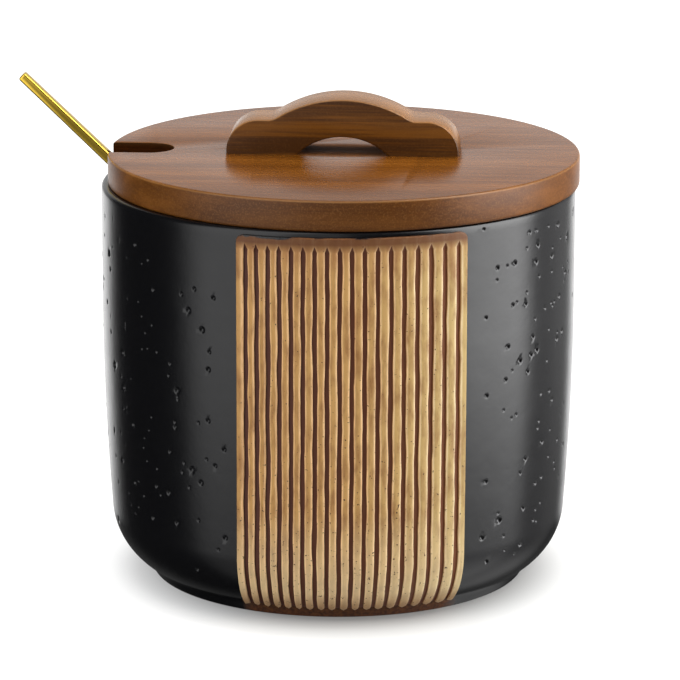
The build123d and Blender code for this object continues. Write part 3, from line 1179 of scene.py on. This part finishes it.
            outer = self.line.at(walk, self.proud)[0]
            turn = asin(x / max(outer, between(outer, hip_out, self.fan)))
            radius, height = self.line.at(walk, self.proud - depth)
            vert.co = Vector((radius * sin(turn), -radius * cos(turn), height)) * MM
        for name, values in (("comb", marks), ("across", shares)):
            attribute = panel.data.attributes.new(name, "FLOAT", "POINT")
            attribute.data.foreach_set("value", values)


# The lid


@dataclass
class WoodenLid:
    """The lid's disc with its notch, and the arched handle across it. Sizes are in millimetres."""

    radius: float = 51.7
    low: float = 87.4
    thickness: float = 6.7
    shift: float = 1.15  # along the handle
    turn: float = -7.0  # degrees
    notch_width: float = 10.9
    notch_tip: float = 37.33
    mouth: float = 0.998  # the notch's width where it runs out, as a share
    ease: float = 0.6
    cut_ease: float = 0.15  # along the notch's edges, left nearly sharp by the saw
    sharp: float = 40  # degrees, from which an edge is eased
    screw_spacing: float = 36.6
    hole_radius: float = 1.7
    cutter: float = 30.0  # length of the cutting tools, which pass right through
    wall_slack: Point = (0.02, 0.05)  # how near the notch's wall, and its top, a face may lie
    handle_length: float = 50.8
    handle_thickness: float = 11.5
    handle_height: float = 12.35
    shoulder: float = 7.7
    shoulder_round: float = 7.0
    crown: float = 27.0
    blend: float = 4.0
    arch_height: float = 4.0
    arch: float = 14.4
    handle_ease: float = 0.5
    foot_slack: float = 0.02  # how near the lid an edge of the handle is left sharp
    shading: float = 28  # degrees, from which an edge is shaded sharp

    def place(self) -> Matrix:
        """The lid's own frame: turned, then shifted along the handle."""
        return Matrix.Rotation(radians(self.turn), 4, "Z") @ Matrix.Translation((self.shift * MM, 0, 0))

    def notch_cutter(self) -> Piece:
        """A round-ended bar that cuts the notch and runs out past the edge.

        Returns:
            The bar.
        """
        centre = -(self.notch_tip + self.notch_width / 2) * MM
        long = self.cutter * MM
        sizes = {"vertices": 64, "radius": self.notch_width / 2 * MM, "depth": long}
        bar = added("notch_cutter", "cylinder", location=(centre, 0, self.low * MM), **sizes)
        with editing(bar, Kind.VERT):
            pick_all()
            cut(X_AXIS, centre)
            pick(bar, Kind.VERT, lambda vert: vert.co.x < centre - TINY)
            bpy.ops.transform.resize(value=(0, 1, 1), center_override=(centre - long, 0, 0))
            pick(bar, Kind.VERT, lambda vert: vert.co.x < centre - long / 2)
            bpy.ops.transform.resize(value=(1, self.mouth, 1), center_override=(centre, 0, 0))
        return bar

    def build_disc(self, *finishes: bpy.types.Material) -> Piece:
        """The disc, eased all round and then cut.

        Args:
            finishes: The wood's finish, and that of the notch's sawn wall, darkened as painted shade.

        Returns:
            The disc.
        """
        middle = (0, 0, (self.low + self.thickness / 2) * MM)
        sizes = {"vertices": 256, "radius": self.radius * MM, "depth": self.thickness * MM}
        disc = added("lid_board", "cylinder", location=middle, **sizes)
        eased(disc, self.ease, 4, self.sharp)
        cutters = [self.notch_cutter()]
        sizes = {"vertices": 32, "radius": self.hole_radius * MM, "depth": self.cutter * MM}
        for side in (-1, 1):
            place = (side * self.screw_spacing / 2 * MM, 0, self.low * MM)
            cutters.append(added("hole_cutter", "cylinder", location=place, **sizes))
        for tool in cutters:
            applied(disc, "BOOLEAN", object=tool, operation="DIFFERENCE", solver="EXACT")
            bpy.data.objects.remove(tool)
        eased(disc, self.cut_ease, 2, self.sharp)
        disc.data.materials.clear()
        for finish in finishes:
            disc.data.materials.append(finish)
        beside, below = self.wall_slack
        wall_top = (self.low + self.thickness - self.cut_ease - below) * MM
        # The notch's wall takes the second finish: painted shade
        for face in disc.data.polygons:
            x, y, z = face.center
            inside = x < -self.notch_tip * MM and abs(y) < (self.notch_width / 2 + beside) * MM
            face.material_index = int(inside and z < wall_top and abs(face.normal.z) < 0.5)
        disc.matrix_world = self.place()
        smooth(disc, self.shading)
        return disc

    def outline(self) -> list[Point]:
        """The handle's outline from the front.

        Returns:
            Its points, from its left foot over the crown and back under the arch.
        """
        half = self.handle_length / 2
        bend = self.shoulder_round
        reach = self.crown + self.blend
        rise = self.handle_height - self.shoulder
        foot = sqrt(reach**2 - (reach - rise) ** 2)
        lean = degrees(atan2(reach - rise, foot))
        left = [(-half, 0.0)]
        left += arc((-half + bend, self.shoulder - bend), bend, 180, 90, 14)
        left += arc((-foot, self.shoulder + self.blend), self.blend, -90, -lean, 6)
        over = arc((0.0, self.handle_height - self.crown), self.crown, 180 - lean, lean, 30)[1:-1]
        right = [(-x, z) for x, z in reversed(left)]
        base = self.arch_height - self.arch
        spread = degrees(asin(-base / self.arch))
        return left + over + right + arc((0.0, base), self.arch, spread, 180 - spread, 24)

    def build_handle(self) -> Piece:
        """The handle: its outline drawn, filled, thickened and eased.

        Returns:
            The handle.
        """
        front = -self.handle_thickness / 2 * MM
        top = self.low + self.thickness
        handle = drawn_line("lid_grip", [Vector((x * MM, front, (top + z) * MM)) for x, z in self.outline()])
        with editing(handle, Kind.VERT):
            pick_all()
            bpy.ops.mesh.edge_face_add()
            extrude((0.0, self.handle_thickness * MM, 0.0))
            face_outwards()
        base = (top + self.foot_slack) * MM

        def long_edge(edge: bmesh.types.BMEdge) -> bool:
            """Whether an edge runs round one of the two faces, clear of the lid.

            Args:
                edge: The edge.

            Returns:
                True where it does.
            """
            a, b = (vert.co for vert in edge.verts)
            flat = abs(a.y - b.y) < TINY and abs(abs(a.y) + front) < TINY
            return flat and max(a.z, b.z) > base

        with editing(handle, Kind.EDGE):
            pick(handle, Kind.EDGE, long_edge)
            bpy.ops.mesh.bevel(offset=self.handle_ease * MM, segments=3, affect="EDGES")
        handle.matrix_world = self.place()
        smooth(handle, self.shading)
        return handle


# The spoon


@dataclass
class SlimSpoon:
    """The spoon: a bar with a flattened neck and a round bowl, modelled upright and laid as it leans.

    Sizes are in millimetres, and angles in degrees.
    """

    foot: Place = (27.791, -1.246, 15.910)  # where the bowl's middle meets the stem's line
    lean: float = 46.2
    turn: float = -7.0
    below_rim: float = 103.78
    above_rim: float = 31.42
    width: float = 3.4
    end_width: float = 2.8
    thickness: float = 2.2
    end_thickness: float = 2.0
    bowl: float = 10.5
    bowl_depth: float = 8.0
    bowl_wall: float = 1.0
    bowl_ease: float = 0.25
    neck: float = 9.0
    neck_width: float = 6.5
    neck_thickness: float = 1.4
    neck_curve: float = 1.5
    ease: float = 0.5
    # Where the bar is divided, as shares of its neck, its stem and its end
    neck_shares: tuple[float, ...] = (0.15, 0.3, 0.45, 0.6, 0.8, 1.0)
    stem_shares: tuple[float, ...] = (0.25, 0.5, 0.75, 1.0)
    end_shares: tuple[float, ...] = (0.5, 1.0)

    def place(self) -> Matrix:
        """Where the spoon leans.

        Returns:
            The way there from its own frame, which has Z up the stem and Y out of the bowl's open face.
        """
        lean = radians(self.lean)
        up = Vector((-sin(lean), 0.0, cos(lean)))
        face = Vector((cos(lean), 0.0, sin(lean)))
        axes = Matrix((face.cross(up), face, up)).transposed().to_4x4()
        turned = Matrix.Rotation(radians(self.turn), 4, "Z")
        return Matrix.Translation(Vector(self.foot) * MM) @ turned @ axes

    def stations(self) -> list[Place]:
        """The sections of the neck and the stem.

        Returns:
            Height, width and thickness of each, from the bowl up.
        """
        start = self.bowl - self.bowl_wall
        neck_top = self.bowl + self.neck
        steps = [(start, self.neck_width, self.neck_thickness)]
        for share in self.neck_shares:
            left = (1 - share) ** self.neck_curve
            width = between(self.width, self.neck_width, left)
            steps.append((between(start, neck_top, share), width, between(self.thickness, self.neck_thickness, left)))
        for share in self.stem_shares:
            steps.append((between(neck_top, self.below_rim, share), self.width, self.thickness))
        for share in self.end_shares:
            width = between(self.width, self.end_width, share)
            thickness = between(self.thickness, self.end_thickness, share)
            steps.append((self.below_rim + self.above_rim * share, width, thickness))
        return steps

    def build_stem(self) -> Piece:
        """The stem and neck, extruded from the bowl's edge upwards.

        Returns:
            The stem in the spoon's own frame.
        """
        steps = self.stations()
        low, width, thickness = steps[0]
        level = (self.thickness - self.neck_thickness) / 2
        scale = (width * MM, thickness * MM, 1.0)
        stem = added("gold_spoon", "plane", scale, size=1.0, location=(0, level * MM, low * MM))
        with editing(stem):
            pick_all()
            for (low, width, thickness), (high, new_width, new_thickness) in zip(steps, steps[1:]):
                new_level = min(level, (self.thickness - new_thickness) / 2) if high < self.below_rim else 0.0
                extrude((0.0, (new_level - level) * MM, (high - low) * MM))
                scale = (new_width / width, new_thickness / thickness, 1)
                bpy.ops.transform.resize(value=scale, center_override=(0, new_level * MM, 0))
                level = new_level
            face_outwards()
        eased(stem, self.ease, 4, 60)
        return stem

    def build_bowl(self) -> Piece:
        """The bowl, cut from a ball and given its wall.

        Returns:
            The bowl in the spoon's own frame.
        """
        ball = (self.bowl**2 + self.bowl_depth**2) / (2 * self.bowl_depth)
        level = self.thickness / 2
        sizes = {"segments": 96, "ring_count": 64, "radius": ball * MM, "rotation": (pi / 2, 0, 0)}
        bowl = added("spoon_bowl", "uv_sphere", location=(0, (level + ball - self.bowl_depth) * MM, 0), **sizes)
        with editing(bowl):
            pick_all()
            cut(Y_AXIS, level * MM, clear_outer=True)
        applied(bowl, "SOLIDIFY", thickness=self.bowl_wall * MM, offset=-1.0, use_rim=True)
        eased(bowl, self.bowl_ease, 3, 50)
        return bowl

    def build(self) -> Piece:
        """Joins stem and bowl and lays the spoon as it leans.

        Returns:
            The spoon.
        """
        stem = self.build_stem()
        take(stem, self.build_bowl())
        bpy.ops.object.join()
        stem.matrix_world = self.place()
        smooth(stem, 30)
        return stem


# The studio


def aimed(place: Place, aim: Place) -> Quaternion:
    """The turn that points a lamp or a camera from one place at another."""
    return (Vector(aim) - Vector(place)).to_track_quat("-Z", "Y")


@dataclass(frozen=True)
class Softbox:
    """An area lamp aimed at the jar, which nothing mirrors."""

    name: str
    place: Place
    size: Point
    power: float
    colour: str = "#ffffff"
    aim: Place = (0.0, 0.0, 0.05)

    def add(self) -> None:
        """Adds the lamp."""
        turn = aimed(self.place, self.aim).to_euler()
        bpy.ops.object.light_add(type="AREA", location=self.place, rotation=turn)
        lamp = named(self.name)
        lamp.data.shape = "RECTANGLE"
        lamp.data.size, lamp.data.size_y = self.size
        lamp.data.energy = self.power
        lamp.data.color = linear(self.colour)[:3]
        lamp.visible_glossy = False
        lamp.visible_camera = False


@dataclass(frozen=True)
class MirroredWall:
    """A soft-edged wall of the room that only mirrored rays see."""

    azimuth: float  # degrees round from the jar's front, to the right
    edge: float  # degrees from its middle to where it begins
    full: float  # degrees from its middle to where it has its whole level
    levels: Point  # at its lower and its upper height
    heights: Point  # the two heights, as the upward part of a mirrored direction

    def add(self, tree: Tree, way: Node, height: bpy.types.NodeSocket) -> Node:
        """Adds the wall's nodes.

        Args:
            tree: The world's node tree.
            way: The mirrored direction, laid level.
            height: The upward part of that direction.

        Returns:
            The node that gives the wall's light.
        """
        turn = radians(self.azimuth)
        aim = (sin(turn), -cos(turn), 0.0)
        facing = add_node(tree, "VectorMath", {0: way, 1: aim}, operation="DOT_PRODUCT").outputs["Value"]
        begin, full = (cos(radians(angle)) for angle in (self.edge, self.full))
        ramps = (Ramp(begin, full).of(facing), Ramp(*self.heights, *self.levels).of(height))
        patch, level = (add_node(tree, "MapRange", ramp, interpolation_type="SMOOTHSTEP") for ramp in ramps)
        return add_node(tree, "Math", {0: patch, 1: level}, operation="MULTIPLY")


@dataclass
class Studio:
    """Floor, surroundings, lamps and camera."""

    camera_place: Place = (-0.05880, -0.96746, 0.29726)
    camera_aim: Place = (0.000375, -0.00002, 0.05117)
    camera_roll: float = 0.0016332
    lens: float = 239.06
    sensor: float = 36.0
    reach: float = 20.0  # metres that the camera sees
    floor_size: float = 6.0
    floor_colour: str = "#a0a09e"
    floor_bounce: str = "#b4b4b4"
    floor_roughness: float = 0.9
    # The floor's glow by metres from its middle: dim where the foot stands, a painted contact shadow, and pure white
    # far out
    painted_shadow_glow: Ramp = Ramp(0.041, 0.058, 0.15, 0.78)
    far_glow: Ramp = Ramp(0.058, 0.12, 0.0, 0.22)
    # Where the glow's oval is centred and how it is stretched, which shapes the painted shadow
    glow_shift: Place = (-1.5 * MM, 0.0, 0.0)
    glow_scale: Place = (1.11, 0.95, 1.0)
    room_colour: str = "#f6f7f8"
    room_light: float = 0.20
    lamps: tuple[Softbox, ...] = (
        Softbox("right_card", (0.443, -0.078, 0.35), (0.36, 0.70), 2.4),
        Softbox("key_softbox", (1.1, -0.75, 0.95), (0.9, 0.9), 9.0, "#fffaf2"),
        Softbox("front_fill", (-0.4, -1.5, 0.7), (1.4, 1.2), 2.5, "#f8faff"),
        Softbox("left_softbox", (-1.0, -0.6, 0.5), (0.8, 0.8), 6.5, "#f8faff"),
        Softbox("top_softbox", (0.0, 0.25, 1.3), (1.2, 1.2), 17.0),
    )
    walls: tuple[MirroredWall, ...] = (
        MirroredWall(76.0, 31.0, 14.0, (0.6, 6.4), (-0.42, -0.10)),
        MirroredWall(-53.0, 35.0, 14.0, (0.3, 1.55), (-0.5, -0.2)),
        MirroredWall(180.0, 42.0, 8.0, (0.05, 0.7), (-0.34, -0.26)),
        MirroredWall(180.0, 36.0, 22.0, (0.0, 1.1), (-0.34, -0.26)),
        MirroredWall(180.0, 36.0, 22.0, (0.0, -1.1), (-0.15, 0.05)),  # takes the one before off higher up
        MirroredWall(118.0, 32.0, 12.0, (0.2, 0.5), (-0.36, -0.22)),
        MirroredWall(80.0, 80.0, 40.0, (0.42, 0.0), (-0.7, -0.45)),
        MirroredWall(-10.0, 14.0, 6.0, (0.15, 0.6), (-0.12, 0.15)),
    )
    dark: float = 0.02  # what is mirrored between the walls

    def build(self) -> None:
        """Sets up the whole studio."""
        self.lay_floor()
        self.hang_surroundings()
        for lamp in self.lamps:
            lamp.add()
        self.set_camera()

    def lay_floor(self) -> None:
        """Lays a pale matt sheet that takes the jar's shadow, with a painted shadow round the foot, and glows into
        white round it.
        """
        floor = added("floor", "plane", size=self.floor_size)
        material, tree, shader = blank_material("matt_white_board")
        seen = add_node(tree, "LightPath").outputs["Is Camera Ray"]
        tones = {0: seen, 6: linear(self.floor_bounce), 7: linear(self.floor_colour)}
        tone = add_node(tree, "Mix", tones, data_type="RGBA")
        matt = {"Base Color": tone, "Roughness": self.floor_roughness, "Specular IOR Level": 0.0}
        plug(tree, shader, matt)
        place = add_node(tree, "TexCoord").outputs["Object"]
        scaled = {0: place, 1: self.glow_scale, 2: self.glow_shift}
        oval = add_node(tree, "VectorMath", scaled, operation="MULTIPLY_ADD")
        away = add_node(tree, "VectorMath", {0: oval}, operation="LENGTH").outputs["Value"]
        # The dim glow near the foot is a painted shadow
        near, far = (add_node(tree, "MapRange", ramp.of(away)) for ramp in (self.painted_shadow_glow, self.far_glow))
        level = add_node(tree, "Math", {0: near, 1: far}, operation="ADD")
        glow = add_node(tree, "Emission", {"Color": WHITE, "Strength": level})
        both = add_node(tree, "AddShader", {0: shader, 1: glow})
        mix = add_node(tree, "MixShader", {0: seen, 1: shader, 2: both})
        plug(tree, tree.nodes["Material Output"], {0: mix})
        floor.data.materials.append(material)
        floor.visible_glossy = False

    def hang_surroundings(self) -> None:
        """Hangs white behind the jar, soft walls where it mirrors them, and an even dim light on the rest."""
        world = bpy.data.worlds.new("studio_room")
        bpy.context.scene.world = world
        world.use_nodes = True
        tree = world.node_tree
        tree.nodes.clear()
        way = add_node(tree, "TexCoord").outputs["Generated"]
        height = add_node(tree, "SeparateXYZ", {0: way}).outputs["Z"]
        flat = add_node(tree, "VectorMath", {0: way, 1: (1.0, 1.0, 0.0)}, operation="MULTIPLY")
        level_way = add_node(tree, "VectorMath", {0: flat}, operation="NORMALIZE")
        total: float | Node = self.dark
        for wall in self.walls:
            total = add_node(tree, "Math", {0: wall.add(tree, level_way, height), 1: total}, operation="ADD")
        lights = ((linear(self.room_colour), self.room_light), (WHITE, total), (WHITE, 1.0))
        room, mirrored, seen = (add_node(tree, "Background", {"Color": c, "Strength": s}) for c, s in lights)
        path = add_node(tree, "LightPath").outputs
        mix = add_node(tree, "MixShader", {0: path["Is Glossy Ray"], 1: room, 2: mirrored})
        rays = {0: path["Is Camera Ray"], 1: path["Is Transmission Ray"]}
        clear = add_node(tree, "Math", rays, operation="MAXIMUM")
        out = add_node(tree, "MixShader", {0: clear, 1: mix, 2: seen})
        add_node(tree, "OutputWorld", {"Surface": out})

    def set_camera(self) -> None:
        """Puts the camera where it looks down on the jar's front."""
        turn = aimed(self.camera_place, self.camera_aim) @ Quaternion(Z_AXIS, self.camera_roll)
        bpy.ops.object.camera_add(location=self.camera_place, rotation=turn.to_euler())
        camera = named("camera")
        camera.data.lens = self.lens
        camera.data.sensor_width = self.sensor
        camera.data.clip_end = self.reach
        bpy.context.scene.camera = camera


def main() -> None:
    """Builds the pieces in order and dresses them."""
    logging.basicConfig(level=logging.INFO, format="%(name)s %(message)s")
    bpy.context.scene.view_settings.view_transform = "Standard"
    glaze, clay, wood = StonewareGlaze().make(), CombedClay().make(), LID_WOOD.make()

    jar = GlazedJar().build()
    jar.data.materials.append(glaze)
    settle(jar, Body.JAR, Slot.GLAZE, "jar")

    panel = CombedPanel().build()
    panel.data.materials.append(clay)
    settle(panel, Body.JAR, Slot.CLAY, "relief_panel")

    lid = WoodenLid()
    settle(lid.build_disc(wood, SAWN_WOOD.make()), Body.LID, Slot.WOOD, "lid_disc")
    handle = lid.build_handle()
    handle.data.materials.append(GRIP_WOOD.make())
    settle(handle, Body.LID, Slot.WOOD, "lid_handle")

    spoon = SlimSpoon().build()
    spoon.data.materials.append(POLISHED_GOLD.make())
    settle(spoon, Body.SPOON, Slot.BRASS, "spoon")

    for node, finish in (("lid_spigot", wood), ("handle_screws", ZINC_STEEL.make())):
        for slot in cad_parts[node].material_slots:
            slot.material = finish
        log.info("%s: kept, with %s", node, finish.name)

    Studio().build()
    bpy.context.view_layer.update()


if __name__ == "__main__":
    main()
